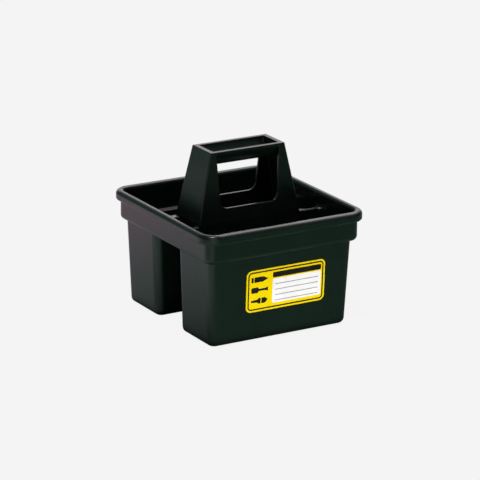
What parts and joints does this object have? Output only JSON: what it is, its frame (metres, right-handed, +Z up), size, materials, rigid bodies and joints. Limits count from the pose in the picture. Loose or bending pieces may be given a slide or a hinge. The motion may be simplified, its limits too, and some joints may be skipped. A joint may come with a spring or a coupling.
{
  "type": "tool storage caddy",
  "caption": "Carry caddy with an open bin on each side of a tall hollow handle, a stepped rim, a tray in the handle top and a label on the front, for pens and small tools.",
  "frame": {"origin": "on the table, under the middle of the rim's plan", "axes": "+X to the right seen from the labelled front, +Y from the front to the back, +Z up"},
  "size_m": [0.1504, 0.1582, 0.1428],
  "materials": {
    "moulded_plastic": "very dark green-black polypropylene, satin, fine moulded grain",
    "label_film": "printed yellow film, satin"
  },
  "bodies": {
    "root": {"tub": "moulded_plastic", "handle": "moulded_plastic", "label": "label_film"}
  },
  "joints": []
}
